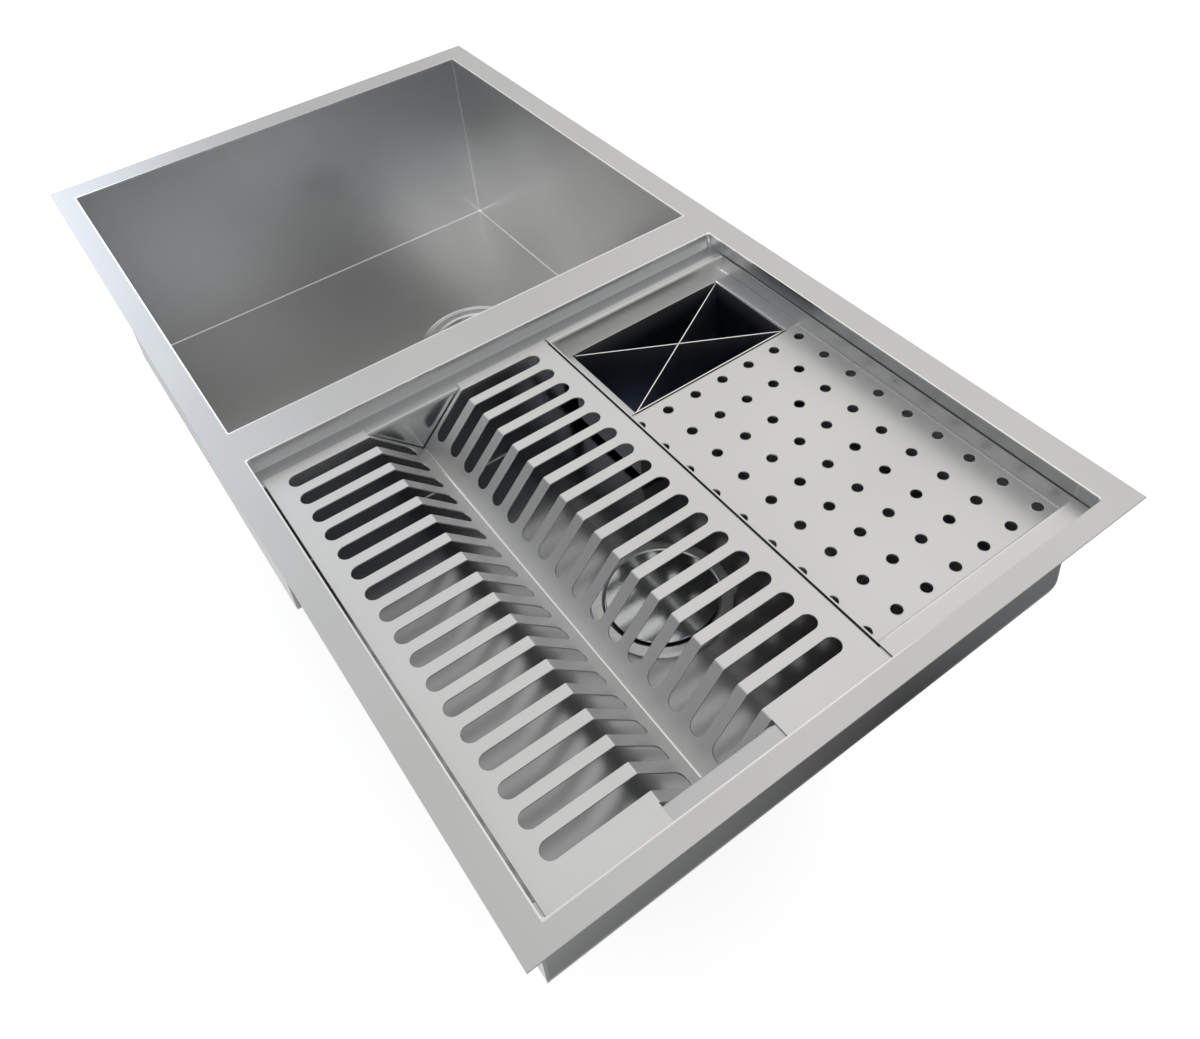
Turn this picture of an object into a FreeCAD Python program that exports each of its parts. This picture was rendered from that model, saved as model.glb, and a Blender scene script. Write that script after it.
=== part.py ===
"""Double-bowl workstation sink: a plain deep bowl beside a stepped bowl that carries a folded
plate rack, a perforated drain tray and a cutlery box.

Millimetres, +Z up. The origin is on the rim's top face, in the middle of the divider strip
between the two bowls. +X runs from the plain bowl to the stepped bowl, +Y to the rear.
"""
import FreeCAD, Part

import math
import os

import Sketcher

doc = FreeCAD.newDocument("workstation_sink")

# ---------------------------------------------------------------------------------------------
# Driving dimensions
# ---------------------------------------------------------------------------------------------

SIZES = [
    # the sheet and the rim
    ("gauge", 1.2, "sheet of the rim and the bowls"),
    ("rim_depth", 500.0, "rim, front to rear"),
    ("rim_front", 20.5, "rim flange in front of the bowls"),
    ("rim_rear", 24.8, "rim flange behind the bowls"),
    ("rim_plain_end", 28.0, "rim flange at the plain bowl's end"),
    ("rim_work_end", 17.0, "rim flange at the stepped bowl's end"),
    ("divider_width", 38.7, "strip between the two openings"),
    # the plain bowl
    ("plain_length", 455.8, "opening, left to right"),
    ("plain_depth", 221.0, "rim's top to the floor"),
    ("plain_corner", 1.0, "inner radius of its upright corners"),
    ("plain_drain_from_rear", 138.2, "rear wall to the drain's axis"),
    # the stepped bowl
    ("work_length", 425.5, "opening, left to right"),
    ("work_depth", 112.0, "rim's top to the floor"),
    ("rear_fold", 9.0, "outer radius of the fold between floor and rear wall"),
    ("work_corner", 3.0, "inner radius of its upright corners"),
    ("ledge_drop", 15.5, "rim's top to the ledges"),
    ("ledge_width", 19.0, "ledge, wall to inner edge"),
    ("ledge_bend", 3.0, "outer radius of the ledge's inner bend"),
    ("work_drain_from_divider", 228.0, "divider side wall to the drain's axis"),
    ("work_drain_from_front", 219.5, "front wall to the drain's axis"),
    # the recess that each strainer sits in
    ("dish_radius", 60.0, "rim of the recess in the floor"),
    ("dish_slope", 3.0, "run of its sloping edge"),
    ("dish_depth", 3.0, "floor to the strainer's seat"),
    ("floor_hole", 46.2, "radius of the hole in the seat"),
    # the plate rack
    ("rack_gauge", 1.2, "sheet of the rack"),
    ("rack_far_gap", 13.4, "ledge left bare at the divider side"),
    ("rack_near_gap", 3.5, "wall at the bowl's end to the rack and the tray"),
    ("rack_front_gap", 4.0, "front wall to the rack"),
    ("wing_width", 86.5, "flat wing, edge to bend"),
    ("valley_width", 84.0, "bend to bend"),
    ("valley_drop", 43.0, "wing to the valley"),
    ("rack_bend", 2.5, "outer radius of the rack's bends"),
    ("rack_play", 1.2, "side gap between the valley and the ledge's foot"),
    ("slot_width", 13.2, "slot across"),
    ("slot_first", 16.8, "rack's far end to the first slot's middle"),
    ("slot_last", 32.1, "last slot's middle to the rack's near end"),
    ("slot_margin", 15.3, "rack's edge to the slot's outer end"),
    ("slot_reach", 31.8, "bend to the slot's inner end, seen from above"),
    ("slot_count", 17, "slots in a row"),
    # the drain tray
    ("tray_gauge", 1.2, "sheet of the tray"),
    ("tray_rack_gap", 2.0, "rack's edge to the tray"),
    ("tray_rear_gap", 0.8, "tray's rear lip to the rear wall"),
    ("pan_drop", 15.0, "ledge level to the pan's floor"),
    ("pan_play", 0.8, "side gap between the pan and the ledge's foot"),
    ("pan_bend", 2.5, "outer radius of the pan's upper bends"),
    ("hole_radius", 4.4, "drain hole"),
    ("hole_rows", 9, "rows along the tray"),
    ("hole_columns", 7, "columns across the tray"),
    ("hole_box_margin", 13.2, "box to the first row"),
    ("hole_near_margin", 17.8, "last row to the pan's near end"),
    ("hole_front_margin", 8.9, "tray's front edge to the first column"),
    ("hole_rear_margin", 12.2, "last column to the tray's rear edge"),
    # the cutlery box
    ("box_gauge", 1.0, "sheet of the box"),
    ("box_length", 94.0, "box outside, along X"),
    ("box_width", 160.4, "box outside, along Y"),
    ("box_depth", 74.0, "flange's top to the box's underside"),
    ("box_far_strip", 9.6, "tray strip between the pan's far wall and the box"),
    ("box_rear_strip", 14.9, "tray strip between the rear lip and the box"),
    ("flange_lip_gap", 0.8, "end of the box's flange to the tray's lip"),
    ("box_play", 0.8, "gap round the box in the tray's cut-out"),
    ("box_bend", 2.5, "outer radius of the flange's bend"),
    ("plate_thick", 1.0, "crossed divider plate"),
    ("plate_end_gap", 1.6, "plate's end to the box's corner"),
    ("plate_slot_play", 0.3, "play of the halved joint, each side"),
    ("halving_length", 20.0, "cut that halves one plate into the other"),
    ("plate_below_rim", 1.0, "flange's top to the plates' top edge"),
    # the strainers
    ("flange_radius", 55.0, "strainer's ring"),
    ("flange_rise", 2.1, "seat to the ring's crown"),
    ("ring_edge", 1.4, "height of the ring's outer edge"),
    ("ring_bevel", 3.0, "run of the ring's outer bevel"),
    ("throat_radius", 44.6, "ring's bore"),
    ("throat_edge", 0.8, "seat to the upper edge of the bore"),
    ("throat_bevel", 2.0, "run of the ring's inner bevel"),
    ("shelf_depth", 1.2, "seat to the shelf that carries the basket"),
    ("cup_radius", 42.0, "inside of the cup"),
    ("cup_wall", 2.6, "wall of the cup with its thread"),
    ("collar_step", 0.6, "collar under the ring over the thread"),
    ("cup_depth", 36.0, "seat to the cup's bottom corner"),
    ("cup_bevel", 3.0, "bevel at the cup's bottom corner"),
    ("cup_fall", 8.0, "fall of the cup's bottom to the outlet"),
    ("outlet_radius", 18.0, "bore of the outlet"),
    ("spigot_radius", 23.4, "outside of the outlet's thread"),
    ("spigot_length", 18.0, "outlet below the cup's bottom"),
    ("gasket_thick", 3.2, "rubber gasket under the floor"),
    ("gasket_setback", 1.0, "foot of the recess's slope to the gasket's edge"),
    ("friction_thick", 1.2, "fibre ring"),
    ("friction_setback", 1.0, "gasket's edge to the fibre ring's edge"),
    ("washer_play", 0.8, "thread to the gasket and the fibre ring"),
    ("locknut_thick", 11.0, "locknut"),
    ("locknut_radius", 56.0, "locknut's skirt"),
    ("locknut_skirt", 3.0, "height of the locknut's skirt"),
    ("locknut_step", 5.0, "skirt's edge to the nut's body"),
    ("locknut_slope", 1.0, "fall from the skirt to the nut's body"),
    ("locknut_lugs", 8, "lugs on the locknut"),
    ("lug_width", 6.0, "lug on the locknut"),
    ("lug_root", 1.0, "lug inside the nut's body"),
    ("thread_play", 0.15, "radial gap between a nut and its thread"),
    ("tail_radius", 19.05, "outside of the tailpiece"),
    ("tail_wall", 1.0, "wall of the tailpiece"),
    ("tail_length", 101.6, "tailpiece with its flange"),
    ("tail_flange", 22.6, "radius of the tailpiece's flange"),
    ("tail_lip", 1.5, "thickness of the tailpiece's flange"),
    ("neck_swell", 0.6, "tailpiece's neck over its tube"),
    ("neck_taper", 4.0, "taper from the neck to the tube"),
    ("tail_washer_thick", 2.0, "washer between outlet and tailpiece"),
    ("coupling_radius", 28.5, "coupling nut across its body"),
    ("coupling_length", 22.0, "coupling nut"),
    ("coupling_grip", 12.0, "thread inside the coupling nut"),
    ("coupling_chamfer", 2.0, "chamfer at the coupling nut's foot"),
    ("coupling_play", 0.3, "tailpiece's neck to the coupling nut"),
    ("coupling_ribs", 10, "grip ribs on the coupling nut"),
    ("rib_width", 3.2, "grip rib"),
    ("rib_height", 1.6, "grip rib over the nut's body"),
    ("rib_root", 1.5, "grip rib inside the nut's body"),
    # the baskets
    ("basket_sheet", 0.8, "sheet of the basket"),
    ("basket_play", 1.2, "cup wall to the basket"),
    ("basket_rim_play", 0.5, "ring's bore to the basket's rim"),
    ("basket_foot", 28.0, "radius of the basket's bottom"),
    ("basket_hole", 2.4, "radius of the basket's holes"),
    ("basket_ring_holes", 18, "holes in the outer ring"),
    ("post_radius", 3.0, "basket's post"),
    ("post_fit", 0.05, "post to the holes that it passes"),
    ("post_head", 6.0, "radius of the post's head under the stopper"),
    ("post_head_thick", 2.0, "post's head"),
    ("knob_rise", 7.0, "shelf to the knob's top, plain bowl"),
    ("knob_radius", 8.0, "knob of the plain bowl's basket"),
    ("knob_bevel", 2.0, "bevel of the knob's upper edge"),
    ("knob_side", 3.0, "upright side of the knob"),
    ("knob_neck", 3.0, "slope from the knob to the post"),
    ("stopper_radius", 21.0, "rubber stopper"),
    ("stopper_play", 0.3, "stopper to the cup's sloping bottom"),
    ("stopper_thick", 3.0, "rubber stopper"),
    ("cover_radius", 43.6, "cover disc"),
    ("cover_thick", 1.2, "cover disc"),
    ("cover_bevel", 0.4, "bevel of the cover's upper edge"),
    ("cover_gap", 0.8, "ring's crown to the cover, where water runs under it"),
    ("socket_radius", 6.0, "socket under the cover that sits on the post"),
    ("socket_length", 2.5, "socket under the cover"),
    ("socket_play", 0.3, "post to the cover's socket"),
    # sound-deadening sheets
    ("pad_thick", 3.0, "rubber sheet under a floor"),
    ("pad_margin", 38.0, "bowl's wall to the sheet"),
    ("pad_hole", 70.0, "hole round the drain"),
    ("pad_corner", 18.0, "corner radius of the sheet"),
]

sheet = doc.addObject("Spreadsheet::Sheet", "Sizes")
for row, (name, number, note) in enumerate(SIZES, 1):
    sheet.set("A%d" % row, name)
    sheet.set("B%d" % row, str(number))
    sheet.set("C%d" % row, note)
    sheet.setAlias("B%d" % row, name)
doc.recompute()


class Size:
    """A length that carries its number and the sheet expression that it comes from."""

    def __init__(self, text, value):
        self.text = text
        self.value = value

    def __add__(self, other):
        other = as_size(other)
        return Size("(%s + %s)" % (self.text, other.text), self.value + other.value)

    def __sub__(self, other):
        other = as_size(other)
        return Size("(%s - %s)" % (self.text, other.text), self.value - other.value)

    def __mul__(self, other):
        other = as_size(other)
        return Size("(%s * %s)" % (self.text, other.text), self.value * other.value)

    def __truediv__(self, other):
        other = as_size(other)
        return Size("(%s / %s)" % (self.text, other.text), self.value / other.value)

    def __neg__(self):
        return Size("(0 - %s)" % self.text, -self.value)

    def __radd__(self, other):
        return as_size(other) + self

    def __rsub__(self, other):
        return as_size(other) - self

    def __rmul__(self, other):
        return as_size(other) * self


def as_size(number):
    return number if isinstance(number, Size) else Size(repr(float(number)), float(number))


def slope_angle(rise, run):
    """Angle of a slope, in degrees."""
    angle = math.degrees(math.atan(rise.value / run.value))
    return Size("(atan(%s / %s) / 1deg)" % (rise.text, run.text), angle)


def tan_of(angle):
    return Size("tan(%s * 1deg)" % angle.text, math.tan(math.radians(angle.value)))


def cos_of(angle):
    return Size("cos(%s * 1deg)" % angle.text, math.cos(math.radians(angle.value)))


S = {name: Size("Sizes.%s" % name, float(sheet.get(name))) for name, number, note in SIZES}
ZERO = as_size(0)

# ---------------------------------------------------------------------------------------------
# Building helpers
# ---------------------------------------------------------------------------------------------


def bind(thing, path, size):
    """Set one property of a feature from the sheet."""
    thing.setExpression(path, as_size(size).text)


def new_body(label):
    body = doc.addObject("PartDesign::Body", label)
    body.Label = label
    return body


def new_sketch(body, role, offset=None):
    """A sketch on one of the body's own origin planes, moved along the plane's normal."""
    sketch = body.newObject("Sketcher::SketchObject", body.Name + "_sketch")
    plane = [item for item in body.Origin.OriginFeatures if item.Role == role][0]
    sketch.AttachmentSupport = [(plane, "")]
    sketch.MapMode = "FlatFace"
    if offset is not None:
        bind(sketch, "AttachmentOffset.Base.z", offset)
    return sketch


def place_point(sketch, geometry, point, x, y):
    """Hold one point of a sketch at (x, y) from the sketch's origin."""
    for kind, size in (("DistanceX", as_size(x)), ("DistanceY", as_size(y))):
        index = sketch.addConstraint(Sketcher.Constraint(kind, -1, 1, geometry, point, size.value))
        bind(sketch, "Constraints[%d]" % index, size)


def outline(sketch, corners):
    """A closed outline of straight lines through corners given as (x, y) sizes."""
    corners = [(as_size(x), as_size(y)) for x, y in corners]
    spots = [FreeCAD.Vector(x.value, y.value, 0) for x, y in corners]
    first = sketch.GeometryCount
    count = len(spots)
    for i in range(count):
        sketch.addGeometry(Part.LineSegment(spots[i], spots[(i + 1) % count]), False)
    for i in range(count):
        joint = Sketcher.Constraint("Coincident", first + i, 2, first + (i + 1) % count, 1)
        sketch.addConstraint(joint)
    for i in range(count):
        place_point(sketch, first + i, 1, corners[i][0], corners[i][1])


def rectangle(sketch, x0, y0, x1, y1):
    outline(sketch, [(x0, y0), (x1, y0), (x1, y1), (x0, y1)])


def circle(sketch, x, y, radius):
    radius = as_size(radius)
    centre = FreeCAD.Vector(as_size(x).value, as_size(y).value, 0)
    up = FreeCAD.Vector(0, 0, 1)
    item = sketch.addGeometry(Part.Circle(centre, up, radius.value), False)
    place_point(sketch, item, 3, x, y)
    index = sketch.addConstraint(Sketcher.Constraint("Radius", item, radius.value))
    bind(sketch, "Constraints[%d]" % index, radius)


def obround(sketch, x, y0, y1, radius):
    """A slot along the sketch's Y, from the low arc's centre to the high arc's centre."""
    x, y0, y1, radius = (as_size(item) for item in (x, y0, y1, radius))
    up = FreeCAD.Vector(0, 0, 1)
    low = FreeCAD.Vector(x.value, y0.value, 0)
    high = FreeCAD.Vector(x.value, y1.value, 0)
    side = FreeCAD.Vector(radius.value, 0, 0)
    bottom = sketch.addGeometry(
        Part.ArcOfCircle(Part.Circle(low, up, radius.value), math.pi, 2 * math.pi), False)
    right = sketch.addGeometry(Part.LineSegment(low + side, high + side), False)
    top = sketch.addGeometry(
        Part.ArcOfCircle(Part.Circle(high, up, radius.value), 0, math.pi), False)
    left = sketch.addGeometry(Part.LineSegment(high - side, low - side), False)
    for first, second in ((bottom, right), (right, top), (top, left), (left, bottom)):
        sketch.addConstraint(Sketcher.Constraint("Tangent", first, 2, second, 1))
    sketch.addConstraint(Sketcher.Constraint("Equal", bottom, top))
    place_point(sketch, bottom, 3, x, y0)
    place_point(sketch, top, 3, x, y1)
    index = sketch.addConstraint(Sketcher.Constraint("Radius", bottom, radius.value))
    bind(sketch, "Constraints[%d]" % index, radius)


def extrude(body, kind, sketch, length, backwards=False):
    """A Pad or a Pocket of one sketch."""
    feature = body.newObject("PartDesign::" + kind, body.Name + "_" + kind.lower())
    feature.Profile = sketch
    feature.Reversed = backwards
    bind(feature, "Length", length)
    sketch.Visibility = False
    return feature


def block(body, x0, y0, z0, x1, y1, z1):
    """A Pad with a rectangular outline."""
    sketch = new_sketch(body, "XY_Plane", z0)
    rectangle(sketch, x0, y0, x1, y1)
    return extrude(body, "Pad", sketch, as_size(z1) - z0)


def hollow(body, x0, y0, z0, x1, y1, z1):
    """A Pocket with a rectangular outline, cut down from z1 to z0."""
    sketch = new_sketch(body, "XY_Plane", z1)
    rectangle(sketch, x0, y0, x1, y1)
    return extrude(body, "Pocket", sketch, as_size(z1) - z0)


def edges_of(feature, wanted):
    """Names of the edges whose middle point and direction the test accepts."""
    doc.recompute()
    names = []
    for number, edge in enumerate(feature.Shape.Edges, 1):
        if len(edge.Vertexes) == 2:
            start, end = edge.Vertexes[0].Point, edge.Vertexes[1].Point
            if wanted((start + end) * 0.5, (end - start).normalize()):
                names.append("Edge%d" % number)
    return names


def round_edges(body, feature, radius, wanted):
    fillet = body.newObject("PartDesign::Fillet", body.Name + "_fillet")
    fillet.Base = (feature, edges_of(feature, wanted))
    bind(fillet, "Radius", radius)
    return fillet


def near(a, b):
    return abs(a - as_size(b).value) < 0.01


def revolve(body, kind, corners, x=ZERO, y=ZERO):
    """A Revolution or a Groove about an upright axis at (x, y), from (radius, height) corners."""
    sketch = new_sketch(body, "XZ_Plane", -as_size(y))
    bind(sketch, "AttachmentOffset.Base.x", x)
    outline(sketch, corners)
    feature = body.newObject("PartDesign::" + kind, body.Name + "_" + kind.lower())
    feature.Profile = sketch
    feature.ReferenceAxis = (sketch, ["V_Axis"])
    feature.Angle = 360
    sketch.Visibility = False
    return feature


def ring(body, inner, outer, z0, z1):
    return revolve(body, "Revolution", [(inner, z0), (outer, z0), (outer, z1), (inner, z1)])


def around(body, feature, sketch, count):
    """Repeat a feature about the sketch's normal."""
    pattern = body.newObject("PartDesign::PolarPattern", body.Name + "_around")
    pattern.Originals = [feature]
    pattern.Axis = (sketch, ["N_Axis"])
    pattern.Angle = 360
    bind(pattern, "Occurrences", count)
    body.Tip = pattern
    return pattern


def lower_to(body, x, y, z):
    for axis, size in (("x", x), ("y", y), ("z", z)):
        bind(body, "Placement.Base." + axis, size)


# ---------------------------------------------------------------------------------------------
# Planes that several pieces share
# ---------------------------------------------------------------------------------------------

GAUGE = S["gauge"]
FRONT = S["rim_front"] - S["rim_depth"] * 0.5
REAR = S["rim_depth"] * 0.5 - S["rim_rear"]
PLAIN_NEAR = -(S["divider_width"] * 0.5)
PLAIN_FAR = PLAIN_NEAR - S["plain_length"]
WORK_FAR = S["divider_width"] * 0.5
WORK_NEAR = WORK_FAR + S["work_length"]
LEDGE_TOP = -S["ledge_drop"]
LEDGE_FAR = WORK_FAR + S["ledge_width"]
LEDGE_NEAR = WORK_NEAR - S["ledge_width"]
PLAIN_DRAIN = ((PLAIN_FAR + PLAIN_NEAR) * 0.5, REAR - S["plain_drain_from_rear"])
WORK_DRAIN = (WORK_FAR + S["work_drain_from_divider"], FRONT + S["work_drain_from_front"])
DISH_FOOT = S["dish_radius"] - S["dish_slope"]

# ---------------------------------------------------------------------------------------------
# Rim and bowls: welded sheet
# ---------------------------------------------------------------------------------------------


def rim_deck():
    """The flat flange, its two openings cut flush with the bowls' inner faces."""
    body = new_body("rim_deck")
    front, rear = -(S["rim_depth"] * 0.5), S["rim_depth"] * 0.5
    far = PLAIN_FAR - S["rim_plain_end"]
    near_end = WORK_NEAR + S["rim_work_end"]
    block(body, far, front, -GAUGE, near_end, rear, ZERO)
    cut = hollow(body, PLAIN_FAR, FRONT, -GAUGE, PLAIN_NEAR, REAR, ZERO)
    cut = round_edges(body, cut, S["plain_corner"], lambda middle, along: abs(along.z) > 0.9
                      and (near(middle.y, FRONT) or near(middle.y, REAR)))
    sketch = new_sketch(body, "XY_Plane")
    rectangle(sketch, WORK_FAR, FRONT, WORK_NEAR, REAR)
    cut = extrude(body, "Pocket", sketch, GAUGE)
    round_edges(body, cut, S["work_corner"], lambda middle, along: abs(along.z) > 0.9
                and middle.x > 0 and (near(middle.y, FRONT) or near(middle.y, REAR)))


def drain_dish(body, drain, floor):
    """The recess pressed into a floor, with the hole for the strainer."""
    spill = S["dish_radius"] + GAUGE
    seat = floor - S["dish_depth"]
    sketch = new_sketch(body, "XY_Plane", floor)
    circle(sketch, drain[0], drain[1], S["dish_radius"])
    extrude(body, "Pocket", sketch, GAUGE)
    shift = GAUGE * tan_of(slope_angle(S["dish_depth"], S["dish_slope"]) * 0.5)
    return revolve(body, "Revolution", [
        (spill, floor), (S["dish_radius"], floor), (DISH_FOOT, seat), (S["floor_hole"], seat),
        (S["floor_hole"], seat - GAUGE), (DISH_FOOT + shift, seat - GAUGE),
        (S["dish_radius"] + shift, floor - GAUGE), (spill, floor - GAUGE)], *drain)


def plain_bowl():
    """The deep bowl: four walls and a floor with sharp folds."""
    body = new_body("plain_bowl")
    floor = -S["plain_depth"]
    shell = block(body, PLAIN_FAR - GAUGE, FRONT - GAUGE, floor - GAUGE,
                  PLAIN_NEAR + GAUGE, REAR + GAUGE, -GAUGE)
    round_edges(body, shell, S["plain_corner"] + GAUGE, lambda middle, along: abs(along.z) > 0.9)
    cut = hollow(body, PLAIN_FAR, FRONT, floor, PLAIN_NEAR, REAR, -GAUGE)
    round_edges(body, cut, S["plain_corner"], lambda middle, along: abs(along.z) > 0.9
                and near(abs(middle.y - (FRONT + REAR).value * 0.5), (REAR - FRONT) * 0.5))
    drain_dish(body, PLAIN_DRAIN, floor)


def work_bowl():
    """The stepped bowl: one folded strip gives ends, ledges and floor, with two end plates."""
    body = new_body("work_bowl")
    floor = -S["work_depth"]
    ledge_under = LEDGE_TOP - GAUGE
    sketch = new_sketch(body, "XZ_Plane", -(REAR + GAUGE))
    outline(sketch, [
        (WORK_FAR - GAUGE, -GAUGE), (WORK_FAR - GAUGE, ledge_under),
        (LEDGE_FAR - GAUGE, ledge_under), (LEDGE_FAR - GAUGE, floor - GAUGE),
        (LEDGE_NEAR + GAUGE, floor - GAUGE), (LEDGE_NEAR + GAUGE, ledge_under),
        (WORK_NEAR + GAUGE, ledge_under), (WORK_NEAR + GAUGE, -GAUGE)])
    extrude(body, "Pad", sketch, REAR - FRONT + GAUGE * 2)
    sketch = new_sketch(body, "XZ_Plane", -REAR)
    outline(sketch, [
        (WORK_FAR, -GAUGE), (WORK_FAR, LEDGE_TOP), (LEDGE_FAR, LEDGE_TOP), (LEDGE_FAR, floor),
        (LEDGE_NEAR, floor), (LEDGE_NEAR, LEDGE_TOP), (WORK_NEAR, LEDGE_TOP),
        (WORK_NEAR, -GAUGE)])
    cut = extrude(body, "Pocket", sketch, REAR - FRONT, True)
    bend = round_edges(body, cut, S["ledge_bend"], lambda middle, along: abs(along.y) > 0.9
                       and near(middle.z, LEDGE_TOP) and (near(middle.x, LEDGE_FAR)
                                                          or near(middle.x, LEDGE_NEAR)))
    fold = round_edges(body, bend, S["rear_fold"] - GAUGE, lambda middle, along:
                       abs(along.x) > 0.9 and near(middle.z, floor) and near(middle.y, REAR))
    fold = round_edges(body, fold, S["rear_fold"], lambda middle, along: abs(along.x) > 0.9
                       and near(middle.z, floor - GAUGE) and near(middle.y, REAR + GAUGE))
    round_edges(body, fold, S["work_corner"], lambda middle, along: abs(along.z) > 0.9
                and middle.z > LEDGE_TOP.value and (near(middle.x, WORK_FAR)
                                                    or near(middle.x, WORK_NEAR)))
    drain_dish(body, WORK_DRAIN, floor)


def bowl_pad(label, x0, x1, floor, drain):
    """A rubber sheet glued under a floor, open round the strainer."""
    body = new_body(label)
    margin = S["pad_margin"]
    top = floor - GAUGE
    sheet_pad = block(body, x0 + margin, FRONT + margin, top - S["pad_thick"],
                      x1 - margin, REAR - margin, top)
    round_edges(body, sheet_pad, S["pad_corner"], lambda middle, along: abs(along.z) > 0.9)
    sketch = new_sketch(body, "XY_Plane", top)
    circle(sketch, drain[0], drain[1], S["pad_hole"])
    extrude(body, "Pocket", sketch, S["pad_thick"])


# ---------------------------------------------------------------------------------------------
# Plate rack
# ---------------------------------------------------------------------------------------------

RACK_TOP = LEDGE_TOP + S["rack_gauge"]
RACK_FAR = WORK_FAR + S["rack_far_gap"]
RACK_NEAR = WORK_NEAR - S["rack_near_gap"]
RACK_FRONT = FRONT + S["rack_front_gap"]
RACK_REAR = RACK_FRONT + S["wing_width"] * 2 + S["valley_width"]
FRONT_BEND = RACK_FRONT + S["wing_width"]
REAR_BEND = RACK_REAR - S["wing_width"]
VALLEY_ANGLE = slope_angle(S["valley_drop"], S["valley_width"] * 0.5)
BEND_SHIFT = S["rack_gauge"] * tan_of(VALLEY_ANGLE * 0.5)
VALLEY_UNDER = RACK_TOP - S["valley_drop"] - S["rack_gauge"] / cos_of(VALLEY_ANGLE)


def rack_profile():
    """The folded section, seen along X: both faces of the sheet, with sharp corners."""
    middle = (FRONT_BEND + REAR_BEND) * 0.5
    return [(RACK_FRONT, RACK_TOP), (FRONT_BEND, RACK_TOP),
            (middle, RACK_TOP - S["valley_drop"]), (REAR_BEND, RACK_TOP), (RACK_REAR, RACK_TOP),
            (RACK_REAR, LEDGE_TOP), (REAR_BEND + BEND_SHIFT, LEDGE_TOP), (middle, VALLEY_UNDER),
            (FRONT_BEND - BEND_SHIFT, LEDGE_TOP), (RACK_FRONT, LEDGE_TOP)]


def tilted_slot(body, x, bend, turn):
    """Cuts the part of a slot that lies on a slope, square to the sheet."""
    reach = S["slot_reach"] / cos_of(VALLEY_ANGLE) - S["slot_width"] * 0.5
    sketch = body.newObject("Sketcher::SketchObject", body.Name + "_sketch")
    plane = [item for item in body.Origin.OriginFeatures if item.Role == "XY_Plane"][0]
    sketch.AttachmentSupport = [(plane, "")]
    sketch.MapMode = "FlatFace"
    tilt = FreeCAD.Rotation(FreeCAD.Vector(1, 0, 0), VALLEY_ANGLE.value)
    sketch.AttachmentOffset = FreeCAD.Placement(FreeCAD.Vector(0, 0, 0), tilt)
    bind(sketch, "AttachmentOffset.Rotation.Angle", VALLEY_ANGLE * -turn)
    bind(sketch, "AttachmentOffset.Base.y", bend)
    bind(sketch, "AttachmentOffset.Base.z", RACK_TOP)
    start, end = (ZERO, reach) if turn > 0 else (-reach, ZERO)
    obround(sketch, x, start, end, S["slot_width"] * 0.5)
    cut = extrude(body, "Pocket", sketch, S["slot_width"])
    cut.SideType = "Symmetric"
    return cut


def plate_rack():
    """One sheet folded to a V, slotted across each bend, its V notched to pass the ledges."""
    body = new_body("plate_rack")
    sketch = new_sketch(body, "YZ_Plane", RACK_FAR)
    outline(sketch, rack_profile())
    pad = extrude(body, "Pad", sketch, RACK_NEAR - RACK_FAR)
    round_edges(body, pad, S["rack_bend"], lambda middle, along: abs(along.x) > 0.9
                and near(middle.z, RACK_TOP)
                and (near(middle.y, FRONT_BEND) or near(middle.y, REAR_BEND)))
    for x0, x1 in ((RACK_FAR, LEDGE_FAR + S["rack_play"]),
                   (LEDGE_NEAR - S["rack_play"], RACK_NEAR)):
        hollow(body, x0, FRONT_BEND - BEND_SHIFT, VALLEY_UNDER, x1, REAR_BEND + BEND_SHIFT,
               RACK_TOP)
    first = RACK_FAR + S["slot_first"]
    radius = S["slot_width"] * 0.5
    level = new_sketch(body, "XY_Plane", RACK_TOP)
    obround(level, first, RACK_FRONT + S["slot_margin"] + radius, FRONT_BEND, radius)
    obround(level, first, REAR_BEND, RACK_REAR - S["slot_margin"] - radius, radius)
    wings = extrude(body, "Pocket", level, S["rack_gauge"])
    slopes = [tilted_slot(body, first, FRONT_BEND, 1), tilted_slot(body, first, REAR_BEND, -1)]
    pattern = body.newObject("PartDesign::LinearPattern", "rack_slots")
    pattern.Originals = [wings] + slopes
    pattern.Direction = (level, ["H_Axis"])
    bind(pattern, "Length", RACK_NEAR - S["slot_last"] - first)
    bind(pattern, "Occurrences", S["slot_count"])
    body.Tip = pattern


# ---------------------------------------------------------------------------------------------
# Drain tray with its cutlery box
# ---------------------------------------------------------------------------------------------

TRAY_TOP = LEDGE_TOP + S["tray_gauge"]
TRAY_FRONT = RACK_REAR + S["tray_rack_gap"]
TRAY_REAR = REAR - S["tray_rear_gap"]
PAN_FAR = LEDGE_FAR + S["pan_play"]
PAN_NEAR = LEDGE_NEAR - S["pan_play"]
PAN_FLOOR = LEDGE_TOP - S["pan_drop"]
BOX_FAR = PAN_FAR + S["tray_gauge"] + S["box_far_strip"]
BOX_NEAR = BOX_FAR + S["box_length"]
BOX_REAR = TRAY_REAR - S["tray_gauge"] - S["box_rear_strip"]
BOX_FRONT = BOX_REAR - S["box_width"]
BOX_TOP = PAN_FLOOR + S["box_gauge"]


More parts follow.
